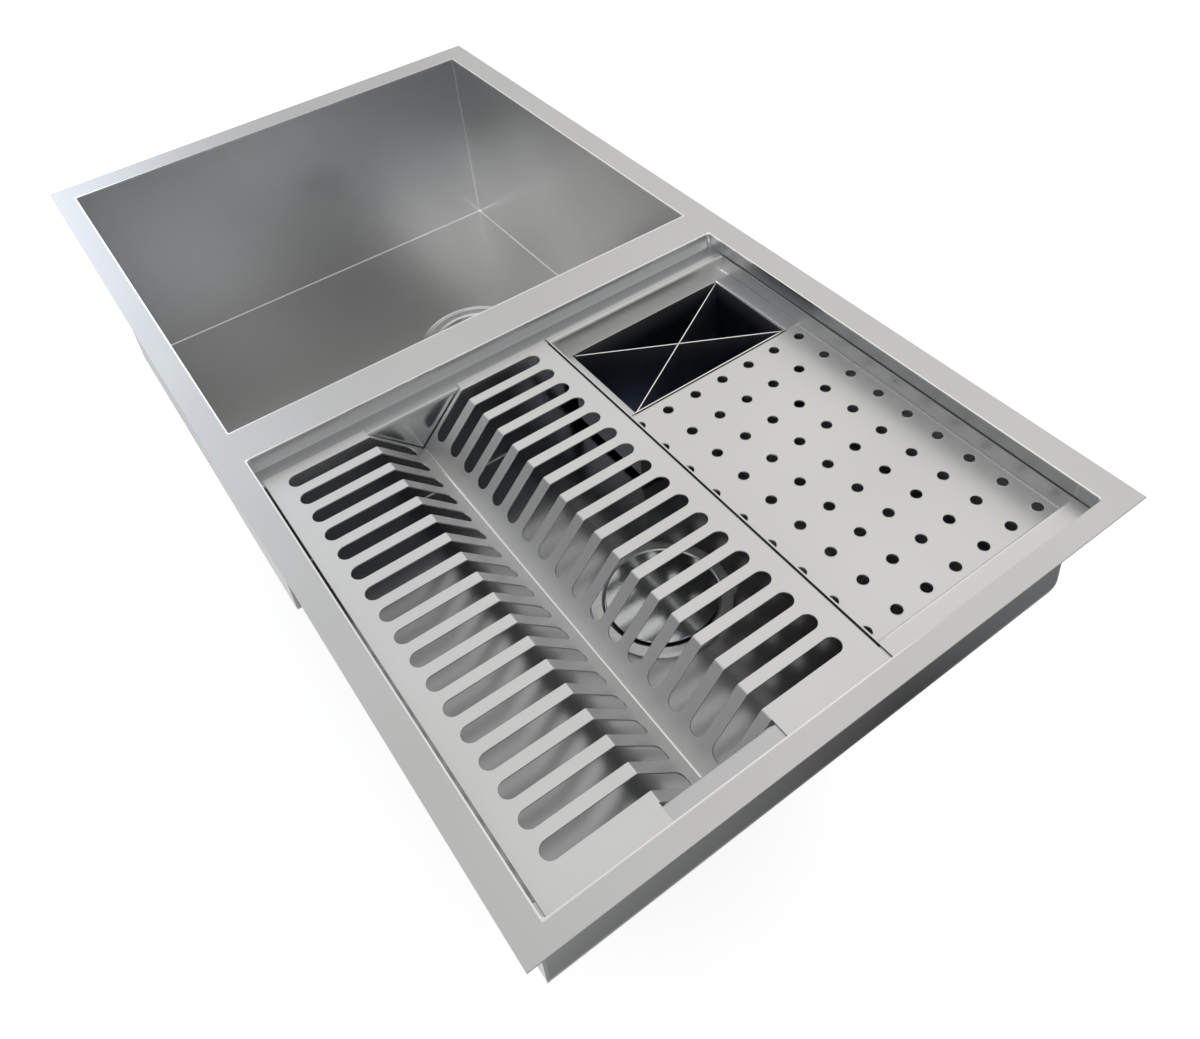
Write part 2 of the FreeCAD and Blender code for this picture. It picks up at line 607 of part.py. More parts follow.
def drain_tray():
    """A shallow pan hung by two end flanges, with a grid of holes and a cut-out for the box."""
    body = new_body("drain_tray")
    t = S["tray_gauge"]
    sketch = new_sketch(body, "XZ_Plane", -TRAY_REAR)
    outline(sketch, [
        (RACK_FAR, TRAY_TOP), (RACK_FAR, LEDGE_TOP), (PAN_FAR, LEDGE_TOP),
        (PAN_FAR, PAN_FLOOR - t), (PAN_NEAR, PAN_FLOOR - t), (PAN_NEAR, LEDGE_TOP),
        (RACK_NEAR, LEDGE_TOP), (RACK_NEAR, TRAY_TOP)])
    extrude(body, "Pad", sketch, TRAY_REAR - TRAY_FRONT)
    cut = hollow(body, PAN_FAR + t, TRAY_FRONT + t, PAN_FLOOR, PAN_NEAR - t, TRAY_REAR - t,
                 TRAY_TOP)
    round_edges(body, cut, S["pan_bend"], lambda middle, along: abs(along.y) > 0.9
                and near(middle.z, TRAY_TOP) and (near(middle.x, PAN_FAR + t)
                                                  or near(middle.x, PAN_NEAR - t)))
    play = S["box_play"]
    sketch = new_sketch(body, "XY_Plane", PAN_FLOOR)
    rectangle(sketch, BOX_FAR - play, BOX_FRONT - play, BOX_NEAR + play, BOX_REAR + play)
    extrude(body, "Pocket", sketch, t)
    first_row = BOX_NEAR + S["hole_box_margin"]
    first_column = TRAY_FRONT + S["hole_front_margin"]
    sketch = new_sketch(body, "XY_Plane", PAN_FLOOR)
    circle(sketch, first_row, first_column, S["hole_radius"])
    hole = extrude(body, "Pocket", sketch, t)
    pattern = body.newObject("PartDesign::LinearPattern", "tray_holes")
    pattern.Originals = [hole]
    pattern.Direction = (sketch, ["H_Axis"])
    bind(pattern, "Length", PAN_NEAR - S["hole_near_margin"] - first_row)
    bind(pattern, "Occurrences", S["hole_rows"])
    pattern.Direction2 = (sketch, ["V_Axis"])
    bind(pattern, "Length2", TRAY_REAR - S["hole_rear_margin"] - first_column)
    bind(pattern, "Occurrences2", S["hole_columns"])
    body.Tip = pattern


def cutlery_box():
    """A deep open box with two flanges that hook over the tray, front and rear."""
    body = new_body("cutlery_box")
    t = S["box_gauge"]
    sketch = new_sketch(body, "YZ_Plane", BOX_FAR)
    under = BOX_TOP - S["box_depth"]
    front_end = TRAY_FRONT + S["tray_gauge"] + S["flange_lip_gap"]
    rear_end = TRAY_REAR - S["tray_gauge"] - S["flange_lip_gap"]
    outline(sketch, [
        (front_end, BOX_TOP), (front_end, PAN_FLOOR), (BOX_FRONT, PAN_FLOOR), (BOX_FRONT, under),
        (BOX_REAR, under), (BOX_REAR, PAN_FLOOR), (rear_end, PAN_FLOOR), (rear_end, BOX_TOP)])
    extrude(body, "Pad", sketch, S["box_length"])
    cut = hollow(body, BOX_FAR + t, BOX_FRONT + t, under + t, BOX_NEAR - t, BOX_REAR - t,
                 BOX_TOP)
    round_edges(body, cut, S["box_bend"], lambda middle, along: abs(along.x) > 0.9
                and near(middle.z, BOX_TOP) and (near(middle.y, BOX_FRONT + t)
                                                 or near(middle.y, BOX_REAR - t)))


def divider_plates():
    """Two plates from corner to corner of the box, halved into each other at the middle."""
    t = S["box_gauge"]
    inside_x = S["box_length"] - t * 2
    inside_y = S["box_width"] - t * 2
    height = S["box_depth"] - t - S["plate_below_rim"]
    base = BOX_TOP - S["box_depth"] + t
    middle = ((BOX_FAR + BOX_NEAR) * 0.5, (BOX_FRONT + BOX_REAR) * 0.5)
    diagonal = Size("sqrt(pow(%s; 2) + pow(%s; 2))" % (inside_x.text, inside_y.text),
                    math.hypot(inside_x.value, inside_y.value))
    length = diagonal - S["plate_end_gap"] * 2
    turn = slope_angle(inside_y, inside_x)
    slot = S["plate_thick"] + S["plate_slot_play"] * 2
    for label, sign, lift in (("divider_plate_lower", 1, height * 0.5),
                              ("divider_plate_upper", -1, ZERO)):
        plate = upright_box(label + "_sheet", middle, length, S["plate_thick"], turn * sign)
        bind(plate, "Height", height)
        bind(plate, "Placement.Base.z", base)
        notch = upright_box(label + "_notch", middle, S["halving_length"], slot, turn * -sign)
        bind(notch, "Height", height * 0.5)
        bind(notch, "Placement.Base.z", base + lift)
        cut = doc.addObject("Part::Cut", label)
        cut.Base = plate
        cut.Tool = notch
        cut.Label = label


def upright_box(label, middle, length, width, turn):
    """A Part box centred on a point and turned about the upright axis."""
    item = doc.addObject("Part::Box", label)
    bind(item, "Length", length)
    bind(item, "Width", width)
    cosine = cos_of(turn)
    sine = Size("sin(%s * 1deg)" % turn.text, math.sin(math.radians(turn.value)))
    bind(item, "Placement.Rotation.Angle", turn)
    bind(item, "Placement.Base.x", middle[0] - length * cosine * 0.5 + width * sine * 0.5)
    bind(item, "Placement.Base.y", middle[1] - length * sine * 0.5 - width * cosine * 0.5)
    return item


# ---------------------------------------------------------------------------------------------
# Strainers: each is drawn about its own axis with its seat in the dish at height 0
# ---------------------------------------------------------------------------------------------

SHELF = -S["shelf_depth"]
CUP_OUTER = S["cup_radius"] + S["cup_wall"]
CUP_CORNER = -S["cup_depth"]
OUTLET_TOP = CUP_CORNER - S["cup_fall"]
SPIGOT_END = OUTLET_TOP - S["spigot_length"]
GASKET_UNDER = -GAUGE - S["gasket_thick"]
FRICTION_UNDER = GASKET_UNDER - S["friction_thick"]
LOCKNUT_UNDER = FRICTION_UNDER - S["locknut_thick"]
TAIL_TOP = SPIGOT_END - S["tail_washer_thick"]
TAIL_END = TAIL_TOP - S["tail_length"]
TAIL_NECK = S["tail_radius"] + S["neck_swell"]
COUPLING_TOP = SPIGOT_END + S["coupling_grip"]
COUPLING_END = COUPLING_TOP - S["coupling_length"]
COVER_UNDER = S["flange_rise"] + S["cover_gap"]


def strainer(label):
    """Ring, threaded cup and outlet in one."""
    body = new_body(label)
    crown = S["flange_rise"]
    bevel = S["cup_bevel"]
    collar = CUP_OUTER + S["collar_step"]
    revolve(body, "Revolution", [
        (S["flange_radius"], ZERO), (S["flange_radius"], S["ring_edge"]),
        (S["flange_radius"] - S["ring_bevel"], crown),
        (S["throat_radius"] + S["throat_bevel"], crown),
        (S["throat_radius"], S["throat_edge"]), (S["throat_radius"], SHELF),
        (S["cup_radius"], SHELF), (S["cup_radius"], CUP_CORNER + bevel),
        (S["cup_radius"] - bevel, CUP_CORNER), (S["outlet_radius"], OUTLET_TOP),
        (S["outlet_radius"], SPIGOT_END), (S["spigot_radius"], SPIGOT_END),
        (S["spigot_radius"], OUTLET_TOP), (CUP_OUTER - bevel, CUP_CORNER - bevel),
        (CUP_OUTER, CUP_CORNER), (CUP_OUTER, SHELF - S["collar_step"]), (collar, SHELF),
        (collar, ZERO)])
    return body


def seal_washer(label):
    body = new_body(label)
    ring(body, CUP_OUTER + S["washer_play"], DISH_FOOT - S["gasket_setback"], GASKET_UNDER,
         -GAUGE)
    return body


def friction_ring(label):
    body = new_body(label)
    outer = DISH_FOOT - S["gasket_setback"] - S["friction_setback"]
    ring(body, CUP_OUTER + S["washer_play"], outer, FRICTION_UNDER, GASKET_UNDER)
    return body


def locknut(label):
    """A ring nut with lugs for a spanner."""
    body = new_body(label)
    bore = CUP_OUTER + S["thread_play"]
    skirt = S["locknut_radius"]
    skirt_under = FRICTION_UNDER - S["locknut_skirt"]
    core = skirt - S["locknut_step"]
    revolve(body, "Revolution", [
        (bore, FRICTION_UNDER), (skirt, FRICTION_UNDER), (skirt, skirt_under),
        (core, skirt_under - S["locknut_slope"]), (core, LOCKNUT_UNDER), (bore, LOCKNUT_UNDER)])
    sketch = new_sketch(body, "XY_Plane", LOCKNUT_UNDER)
    half = S["lug_width"] * 0.5
    rectangle(sketch, core - S["lug_root"], -half, skirt, half)
    lug = extrude(body, "Pad", sketch, skirt_under - LOCKNUT_UNDER)
    around(body, lug, sketch, S["locknut_lugs"])
    return body


def tail_washer(label):
    body = new_body(label)
    ring(body, S["outlet_radius"], S["tail_flange"], TAIL_TOP, SPIGOT_END)
    return body


def tailpiece(label):
    """A flanged tube whose neck, inside the coupling nut, is a little wider than the rest."""
    body = new_body(label)
    bore = S["tail_radius"] - S["tail_wall"]
    lip = TAIL_TOP - S["tail_lip"]
    revolve(body, "Revolution", [
        (bore, TAIL_TOP), (S["tail_flange"], TAIL_TOP), (S["tail_flange"], lip),
        (TAIL_NECK, lip), (TAIL_NECK, COUPLING_END),
        (S["tail_radius"], COUPLING_END - S["neck_taper"]), (S["tail_radius"], TAIL_END),
        (bore, TAIL_END)])
    return body


def coupling_nut(label):
    """The nut that pulls the tailpiece's flange up to the outlet."""
    body = new_body(label)
    thread = S["spigot_radius"] + S["thread_play"]
    shoulder = TAIL_TOP - S["tail_lip"]
    bore = TAIL_NECK + S["coupling_play"]
    outer, chamfer = S["coupling_radius"], S["coupling_chamfer"]
    revolve(body, "Revolution", [
        (thread, COUPLING_TOP), (outer, COUPLING_TOP), (outer, COUPLING_END + chamfer),
        (outer - chamfer, COUPLING_END), (bore, COUPLING_END), (bore, shoulder),
        (thread, shoulder)])
    sketch = new_sketch(body, "XY_Plane", COUPLING_END + chamfer)
    half = S["rib_width"] * 0.5
    rectangle(sketch, outer - S["rib_root"], -half, outer + S["rib_height"], half)
    rib = extrude(body, "Pad", sketch, S["coupling_length"] - chamfer)
    around(body, rib, sketch, S["coupling_ribs"])
    return body


BASKET_TOP = SHELF + S["basket_sheet"]
BASKET_RADIUS = S["cup_radius"] - S["basket_play"]
CUP_STEEPNESS = S["cup_fall"] / (S["cup_radius"] - S["cup_bevel"] - S["outlet_radius"])
STOPPER_UNDER = (OUTLET_TOP + (S["stopper_radius"] - S["outlet_radius"]) * CUP_STEEPNESS
                 + S["stopper_play"])
BASKET_UNDER = STOPPER_UNDER + S["stopper_thick"]
BASKET_FLOOR = BASKET_UNDER + S["basket_sheet"]
POST_HOLE = S["post_radius"] + S["post_fit"]


def basket(label):
    """A perforated cup whose flange hangs on the strainer's shelf."""
    body = new_body(label)
    t = S["basket_sheet"]
    rim = S["throat_radius"] - S["basket_rim_play"]
    revolve(body, "Revolution", [
        (rim, BASKET_TOP), (rim, SHELF), (BASKET_RADIUS, SHELF), (S["basket_foot"], BASKET_UNDER),
        (POST_HOLE, BASKET_UNDER), (POST_HOLE, BASKET_FLOOR),
        (S["basket_foot"] - t, BASKET_FLOOR), (BASKET_RADIUS - t, BASKET_TOP)])
    floor_sketch = new_sketch(body, "XY_Plane", BASKET_FLOOR)
    ring_radius = (S["stopper_radius"] + S["basket_foot"]) * 0.5
    circle(floor_sketch, ring_radius, ZERO, S["basket_hole"])
    floor_hole = extrude(body, "Pocket", floor_sketch, t)
    wall_sketch = new_sketch(body, "XZ_Plane")
    circle(wall_sketch, ZERO, (BASKET_FLOOR + BASKET_TOP) * 0.5, S["basket_hole"])
    wall_hole = extrude(body, "Pocket", wall_sketch, BASKET_RADIUS)
    pattern = around(body, floor_hole, floor_sketch, S["basket_ring_holes"])
    pattern.Originals = [floor_hole, wall_hole]
    return body


def basket_post(label, top, knob):
    """The post that holds basket and stopper together, with or without a knob."""
    body = new_body(label)
    foot = STOPPER_UNDER
    radius = S["post_radius"]
    head = [(ZERO, top), (radius, top)]
    if knob:
        shoulder = top - S["knob_bevel"]
        edge = shoulder - S["knob_side"]
        head = [(ZERO, top), (S["knob_radius"] - S["knob_bevel"], top),
                (S["knob_radius"], shoulder), (S["knob_radius"], edge),
                (radius, edge - S["knob_neck"])]
    revolve(body, "Revolution", head + [
        (radius, foot), (S["post_head"], foot), (S["post_head"], foot - S["post_head_thick"]),
        (ZERO, foot - S["post_head_thick"])])
    return body


def basket_stopper(label):
    """The rubber disc under the basket that closes the outlet."""
    body = new_body(label)
    ring(body, POST_HOLE, S["stopper_radius"], STOPPER_UNDER, BASKET_UNDER)
    return body


def cover_disc(label):
    """The smooth disc over the basket, with a short socket that sits on the basket's post."""
    body = new_body(label)
    top = COVER_UNDER + S["cover_thick"]
    edge, bevel = S["cover_radius"], S["cover_bevel"]
    foot = COVER_UNDER - S["socket_length"]
    bore = S["post_radius"] + S["socket_play"]
    revolve(body, "Revolution", [
        (ZERO, top), (edge - bevel, top), (edge, top - bevel), (edge, COVER_UNDER),
        (S["socket_radius"], COVER_UNDER), (S["socket_radius"], foot), (bore, foot),
        (bore, COVER_UNDER), (ZERO, COVER_UNDER)])
    return body


def drain_set(prefix, drain, floor, post_top, knob):
    """All pieces of one drain, set in the dish of one bowl."""
    pieces = [
        strainer(prefix + "_strainer"), seal_washer(prefix + "_seal_washer"),
        friction_ring(prefix + "_friction_ring"), locknut(prefix + "_locknut"),
        tail_washer(prefix + "_tail_washer"), tailpiece(prefix + "_tailpiece"),
        coupling_nut(prefix + "_coupling_nut"), basket(prefix + "_basket"),
        basket_post(prefix + "_basket_post", post_top, knob),
        basket_stopper(prefix + "_basket_stopper")]
    if not knob:
        pieces.append(cover_disc(prefix + "_cover_disc"))
    for body in pieces:
        lower_to(body, drain[0], drain[1], floor - S["dish_depth"])
    return [body.Label for body in pieces]


# ---------------------------------------------------------------------------------------------
# Build, check and write
# ---------------------------------------------------------------------------------------------

rim_deck()
plain_bowl()
work_bowl()
bowl_pad("plain_sound_pad", PLAIN_FAR, PLAIN_NEAR, -S["plain_depth"], PLAIN_DRAIN)
bowl_pad("work_sound_pad", LEDGE_FAR, LEDGE_NEAR, -S["work_depth"], WORK_DRAIN)
plate_rack()
drain_tray()
cutlery_box()
divider_plates()
NODES = ["rim_deck", "plain_bowl", "work_bowl", "plain_sound_pad", "work_sound_pad", "plate_rack",
         "drain_tray", "cutlery_box", "divider_plate_lower", "divider_plate_upper"]
NODES += drain_set("plain", PLAIN_DRAIN, -S["plain_depth"], SHELF + S["knob_rise"], True)
NODES += drain_set("work", WORK_DRAIN, -S["work_depth"], COVER_UNDER, False)
doc.recompute()

for item in doc.Objects:
    if "Invalid" in item.State or "Error" in item.State:
        raise RuntimeError("%s failed: %s" % (item.Name, item.State))

os.makedirs("parts", exist_ok=True)
for label in NODES:
    shape = doc.getObjectsByLabel(label)[0].Shape
    if shape.isNull() or not shape.isValid():
        raise RuntimeError("%s has no valid shape" % label)
    shape.exportStep("parts/%s.step" % label)
    box = shape.BoundBox
    print("%-24s %d solid  x %8.2f %8.2f  y %8.2f %8.2f  z %8.2f %8.2f" % (
        label, len(shape.Solids), box.XMin, box.XMax, box.YMin, box.YMax, box.ZMin, box.ZMax))
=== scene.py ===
import math

import bmesh
import bpy
from mathutils import Matrix, Vector


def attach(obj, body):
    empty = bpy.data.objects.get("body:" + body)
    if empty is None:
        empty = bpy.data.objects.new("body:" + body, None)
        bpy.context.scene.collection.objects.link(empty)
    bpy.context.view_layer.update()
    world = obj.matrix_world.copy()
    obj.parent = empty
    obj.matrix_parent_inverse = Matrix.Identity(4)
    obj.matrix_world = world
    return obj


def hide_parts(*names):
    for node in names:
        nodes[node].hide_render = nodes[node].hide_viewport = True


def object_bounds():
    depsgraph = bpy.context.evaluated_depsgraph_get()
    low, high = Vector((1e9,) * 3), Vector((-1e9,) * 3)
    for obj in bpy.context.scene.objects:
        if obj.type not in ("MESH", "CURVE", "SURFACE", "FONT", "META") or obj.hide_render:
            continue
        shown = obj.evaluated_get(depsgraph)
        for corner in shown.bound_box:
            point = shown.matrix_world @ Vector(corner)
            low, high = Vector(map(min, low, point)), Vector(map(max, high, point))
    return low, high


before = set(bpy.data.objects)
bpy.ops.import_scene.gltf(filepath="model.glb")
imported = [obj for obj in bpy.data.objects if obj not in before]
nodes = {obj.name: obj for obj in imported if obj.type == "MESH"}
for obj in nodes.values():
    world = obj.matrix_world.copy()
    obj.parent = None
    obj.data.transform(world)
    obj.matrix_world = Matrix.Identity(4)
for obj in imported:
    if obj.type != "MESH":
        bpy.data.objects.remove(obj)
cad_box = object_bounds()

# ---------------------------------------------------------------------------------------------
# Rim: one flat stainless sheet with two openings. Its edges are broken, and a painted highlight
# runs along the edges of the two openings; its face is brushed along its length. The finishes and
# the broken edges of all sheet parts are made the same way, so their functions come first.
# ---------------------------------------------------------------------------------------------


class Wire:
    """One output socket of a node tree, so that its maths reads as Python."""

    def __init__(self, web, socket):
        self.web = web
        self.socket = socket

    def maths(self, operation, *others):
        return self.web.add("ShaderNodeMath", {"operation": operation}, self, *others)[0]

    def __add__(self, other):
        return self.maths("ADD", other)

    def __radd__(self, other):
        return self.maths("ADD", other)

    def __sub__(self, other):
        return self.maths("SUBTRACT", other)

    def __rsub__(self, other):
        return self.web.add("ShaderNodeMath", {"operation": "SUBTRACT"}, other, self)[0]

    def __mul__(self, other):
        return self.maths("MULTIPLY", other)

    def __pow__(self, other):
        return self.maths("POWER", other)

    def size(self):
        return self.maths("ABSOLUTE")

    def above(self, limit):
        return self.maths("GREATER_THAN", limit)

    def rise(self, low, high):
        """0 below low, 1 above high, and a soft step between them."""
        return self.web.add("ShaderNodeMapRange", {"interpolation_type": "SMOOTHSTEP"},
                            self, low, high, 0.0, 1.0)[0]


class Web:
    """A node tree of any kind, written as calls and sums."""

    def __init__(self, tree):
        self.tree = tree

    def add(self, kind, settings, *values, **named):
        """A node: its settings first, then the values or wires of its sockets."""
        node = self.tree.nodes.new(kind)
        for name, value in settings.items():
            setattr(node, name, value)
        pairs = list(zip(node.inputs, values))
        pairs += [(node.inputs[name.replace("_", " ")], value) for name, value in named.items()]
        for socket, value in pairs:
            if isinstance(value, Wire):
                self.tree.links.new(value.socket, socket)
            elif value is not None:
                socket.default_value = value
        return [Wire(self, socket) for socket in node.outputs]

    def split(self, vector):
        return self.add("ShaderNodeSeparateXYZ", {}, vector)

    def blend(self, factor, first, second):
        """A colour between two colours."""
        made = self.tree.nodes.new("ShaderNodeMix")
        made.data_type = "RGBA"
        for socket, value in zip((made.inputs[0], made.inputs[6], made.inputs[7]),
                                 (factor, first, second)):
            if isinstance(value, Wire):
                self.tree.links.new(value.socket, socket)
            else:
                socket.default_value = value
        return Wire(self, made.outputs[2])


class Finish(Web):
    """A new material with one Principled surface."""

    def __init__(self, name):
        self.material = bpy.data.materials.new(name)
        self.material.use_nodes = True
        super().__init__(self.material.node_tree)
        self.surface = self.tree.nodes["Principled BSDF"]

    def place(self):
        """Object coordinates as three wires, in metres."""
        return self.split(self.add("ShaderNodeTexCoord", {})[3])

    def facing(self):
        """How much the surface faces along X, Y and Z, from 0 to 1."""
        return [axis.size() for axis in self.split(self.add("ShaderNodeTexCoord", {})[1])]

    def noise(self, x, y, z, detail=2.0):
        """Noise whose three coordinates are already scaled."""
        spot = self.add("ShaderNodeCombineXYZ", {}, x, y, z)[0]
        return self.add("ShaderNodeTexNoise", {}, Vector=spot, Scale=1.0, Detail=detail)[0]

    def bump(self, height, distance, strength=1.0):
        made = self.add("ShaderNodeBump", {}, Height=height, Distance=distance,
                        Strength=strength)[0]
        self.tree.links.new(made.socket, self.surface.inputs["Normal"])

    def set(self, **values):
        """Values or wires for the surface's own sockets."""
        for name, value in values.items():
            socket = self.surface.inputs[name.replace("_", " ")]
            if isinstance(value, Wire):
                self.tree.links.new(value.socket, socket)
            else:
                socket.default_value = value


def shade(colour, amount):
    return [min(1.0, part * amount) for part in colour] + [1.0]


def brushed(name, colour, rough, grain="auto", streak=1.0, cloud=0.25, spread=9.0, painted_shade=None,
            painted_highlight=None):
    """Brushed stainless sheet. The grain runs along X, and with "auto" along Y on faces towards X.
    The clouds are soft, with spread waves to the metre. With the shade pair, a mask from the place
    and a dark colour, the colour is painted darker where little light comes: painted shade. With
    the highlight mask, also from the place, a painted highlight makes the colour near white and
    the roughness lower along folds and edges. The roughness can change with the place too."""
    finish = Finish(name)
    x, y, z = finish.place()
    if callable(rough):
        rough = rough(x, y, z)
    fine, long = 900.0, 14.0
    lines = finish.noise(x * long, y * fine, z * fine)
    if grain == "auto":
        along_y = finish.noise(x * fine, y * long, z * fine)
        to_x = finish.facing()[0].above(0.7)
        lines = lines * (1.0 - to_x) + along_y * to_x
    patch = finish.noise(x * spread, y * spread, z * spread, 0.0) - 0.5
    tone = (lines - 0.5) * (0.1 * streak) + patch * cloud + 0.5
    tinted = finish.blend(tone, shade(colour, 0.8), shade(colour, 1.2))
    # Painted shade: the colour goes towards the dark colour where the mask is high.
    if painted_shade:
        inside, dark = painted_shade
        tinted = finish.blend(inside(x, y, z), tinted, shade(dark, 1.0))
    matt = (lines - 0.5) * (0.06 * streak) + rough
    # Painted highlight: the colour goes towards near white along the mask, and the roughness drops
    # there.
    if painted_highlight:
        bright = painted_highlight(x, y, z)
        tinted = finish.blend(bright, tinted, (0.97, 0.97, 0.96, 1.0))
        matt = matt - bright * (rough * 0.5)
    finish.set(Base_Color=tinted, Metallic=1.0, Roughness=matt)
    if streak > 0.5:
        finish.bump(lines, 0.00003, 0.15 * streak)
    return finish


def dress(finish, *names):
    """Give CAD nodes a finish."""
    for name in names:
        slots = nodes[name].data.materials
        slots.clear()
        slots.append(finish.material)


def finished(name, mesh, body, slot, finish, *stands_for):
    """A piece of its own, riding on a body."""
    mesh.materials.clear()
    mesh.materials.append(finish.material)
    piece = bpy.data.objects.new(name, mesh)
    bpy.context.scene.collection.objects.link(piece)
    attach(piece, body)
    if stands_for:
        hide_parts(*stands_for)
    return piece


def evaluated(piece):
    """The plain mesh of an object with its modifiers, which is then taken away."""
    bpy.context.view_layer.update()
    seen = piece.evaluated_get(bpy.context.evaluated_depsgraph_get())
    mesh = bpy.data.meshes.new_from_object(seen)
    bpy.data.objects.remove(piece)
    return mesh


def broken_edges(node, body, slot, finish, *passes):
    """A copy of a sheet part with its edges broken. Each pass is a width, and which edges it takes
    by their middle, in mm, and by how they turn: above 0 outwards, below 0 inwards."""
    shape = bmesh.new()
    shape.from_mesh(nodes[node].data)
    bmesh.ops.remove_doubles(shape, verts=shape.verts, dist=2e-6)
    bmesh.ops.dissolve_limit(shape, angle_limit=math.radians(0.5), verts=shape.verts,
                             edges=shape.edges)
    for width, steps, wanted in passes:
        chosen = []
        for edge in shape.edges:
            if len(edge.link_faces) == 2:
                turn = math.degrees(edge.calc_face_angle_signed(0.0))
                middle = (edge.verts[0].co + edge.verts[1].co) * 500.0
                if abs(turn) > 28.0 and wanted(middle, turn):
                    chosen.append(edge)
        bmesh.ops.bevel(shape, geom=chosen, offset=width / 1000.0, offset_type="OFFSET",
                        segments=steps, profile=0.5, affect="EDGES", clamp_overlap=True)
    for face in shape.faces:
        face.smooth = True
    mesh = bpy.data.meshes.new(node + "_finished")
    shape.to_mesh(mesh)
    shape.free()
    mesh.set_sharp_from_angle(angle=math.radians(38.0))
    rough_piece = bpy.data.objects.new(node + "_rough", mesh)
    bpy.context.scene.collection.objects.link(rough_piece)
    weights = rough_piece.modifiers.new("flat faces", "WEIGHTED_NORMAL")
    weights.keep_sharp = True
    return finished(node + "_finished", evaluated(rough_piece), body, slot, finish, node)


# The two openings, in metres: each from left to right, and both from front to rear.
PLAIN_OPENING = (-0.47515, -0.01935)
WORK_OPENING = (0.01935, 0.44485)
OPENING_DEPTH = (-0.2295, 0.2252)


def beyond(place, span):
    """How far a place lies outside a span, in metres, and below 0 inside it."""
    return (place - (span[0] + span[1]) / 2).size() - (span[1] - span[0]) / 2


def opening_edge_highlight(x, y, z):
    """A mask of the painted highlight along the edge round the two openings. At the near end it
    fades to the rear.
    """
    across = beyond(x, PLAIN_OPENING).maths("MINIMUM", beyond(x, WORK_OPENING))
    edge = 1.0 - across.maths("MAXIMUM", beyond(y, OPENING_DEPTH)).rise(0.0009, 0.0014)
    near_end = x.above(WORK_OPENING[1] - 0.00125)
    return edge * (1.0 - near_end * (y.rise(0.0, 0.09) * 0.7 + 0.3))


# A painted highlight runs along the edges of both openings and fades at the rear of the near end.
broken_edges("rim_deck", "sink", "sheet",
             brushed("rim_steel", (0.62, 0.62, 0.615), 0.34, "x", painted_highlight=opening_edge_highlight),
             (0.35, 2, lambda middle, turn: middle.z > -0.3))

# ---------------------------------------------------------------------------------------------
# Bowls: sheet cut, folded and welded up the corners, then ground flush and brushed. Each fold is
# left with a small radius, and the thin bright line along it is a painted highlight.
# ---------------------------------------------------------------------------------------------


def folds(span, floor, width=0.0013):
    """A mask of a painted highlight along the folds of an open box: strong round the floor,
    fainter up the corners.
    """
    def mask(x, y, z):
        across = beyond(x, span).rise(-width * 1.2, -width * 0.6)
        along = beyond(y, OPENING_DEPTH).rise(-width * 1.2, -width * 0.6)
        under = 1.0 - z.rise(floor + width * 0.6, floor + width * 1.2)
        upright = across * along * (1.0 - beyond(x, span).above(width))
        return under * (across + along - across * along) + upright * 0.3
    return mask


# A painted highlight along the folds, over their real small radius. The strong soft clouds in the
# colour are painted reflections: the mottled light and dark that the bowl's walls reflect.
broken_edges("plain_bowl", "sink", "sheet",
             brushed("plain_bowl_steel", (0.64, 0.64, 0.635), 0.26, streak=0.15, cloud=1.2,
                     spread=5.0, painted_highlight=folds(PLAIN_OPENING, -0.221)),
             (1.3, 3, lambda middle, turn: turn < 0 and middle.z < -2.0))


# The well between the two ledges from left to right, and the drain's X and Y, in metres.
LEDGE_INNER_EDGES = (0.03835, 0.42585)
WORK_DRAIN = (0.24735, -0.01)
STRAINER_RADIUS = 0.055


def behind_tray(y, z):
    """A mask of the upper part of the rear wall's inside below its ledge, which isn't polished.
    There it is kept out of the painted shade and painted lighter: painted light, so that the wall
    seen through the tray's holes looks lit.
    """
    inner_face = 1.0 - (y - OPENING_DEPTH[1]).size().above(0.0006)
    return inner_face * z.rise(-0.112, -0.05) * (1.0 - z.rise(-0.034, -0.03))


def under_cover(x, y, z):
    """A mask of the dim places below the ledges: most at the far end, under the tray and close
    to the strainer's ring."""
    from_drain = ((x - WORK_DRAIN[0]).size() ** 2.0 + (y - WORK_DRAIN[1]).size() ** 2.0) ** 0.5
    by_ring = 1.0 - from_drain.rise(STRAINER_RADIUS + 0.001, STRAINER_RADIUS + 0.006)
    below_tray = y.rise(0.02, 0.07)
    far_end = 1.0 - x.rise(0.05, 0.2)
    most = below_tray.maths("MAXIMUM", far_end).maths("MAXIMUM", by_ring)
    return (1.0 - z.rise(-0.05, -0.01)) * (most * 0.55 + 0.4) * (1.0 - behind_tray(y, z))


def wall_polish(x, y, z):
    """Roughness: smooth below the ledges, duller on the walls above them and behind the tray."""
    return z.rise(-0.03, -0.014) * 0.18 + behind_tray(y, z) * 0.9 + 0.19


def work_folds(x, y, z):
    """A mask of the painted highlight along the folds round the floor, and, fainter, of painted
    light on the wall behind the tray.
    """
    at_floor = folds(LEDGE_INNER_EDGES, -0.112)(x, y, z)
    return at_floor.maths("MAXIMUM", behind_tray(y, z) * 0.8)


# Painted shade below the ledges, most at the far end, under the tray and round the strainer's
# ring, and a steel a little darker than the plain bowl's, also as painted shade; painted light on
# the wall behind the tray, and a painted highlight along the floor's folds.
broken_edges("work_bowl", "sink", "sheet",
             brushed("work_bowl_steel", (0.59, 0.6, 0.605), wall_polish, streak=0.15,
                     painted_shade=(under_cover, (0.31, 0.32, 0.335)), painted_highlight=work_folds),
             (0.5, 2, lambda middle, turn: turn > 0 and -16.0 < middle.z < -14.0))

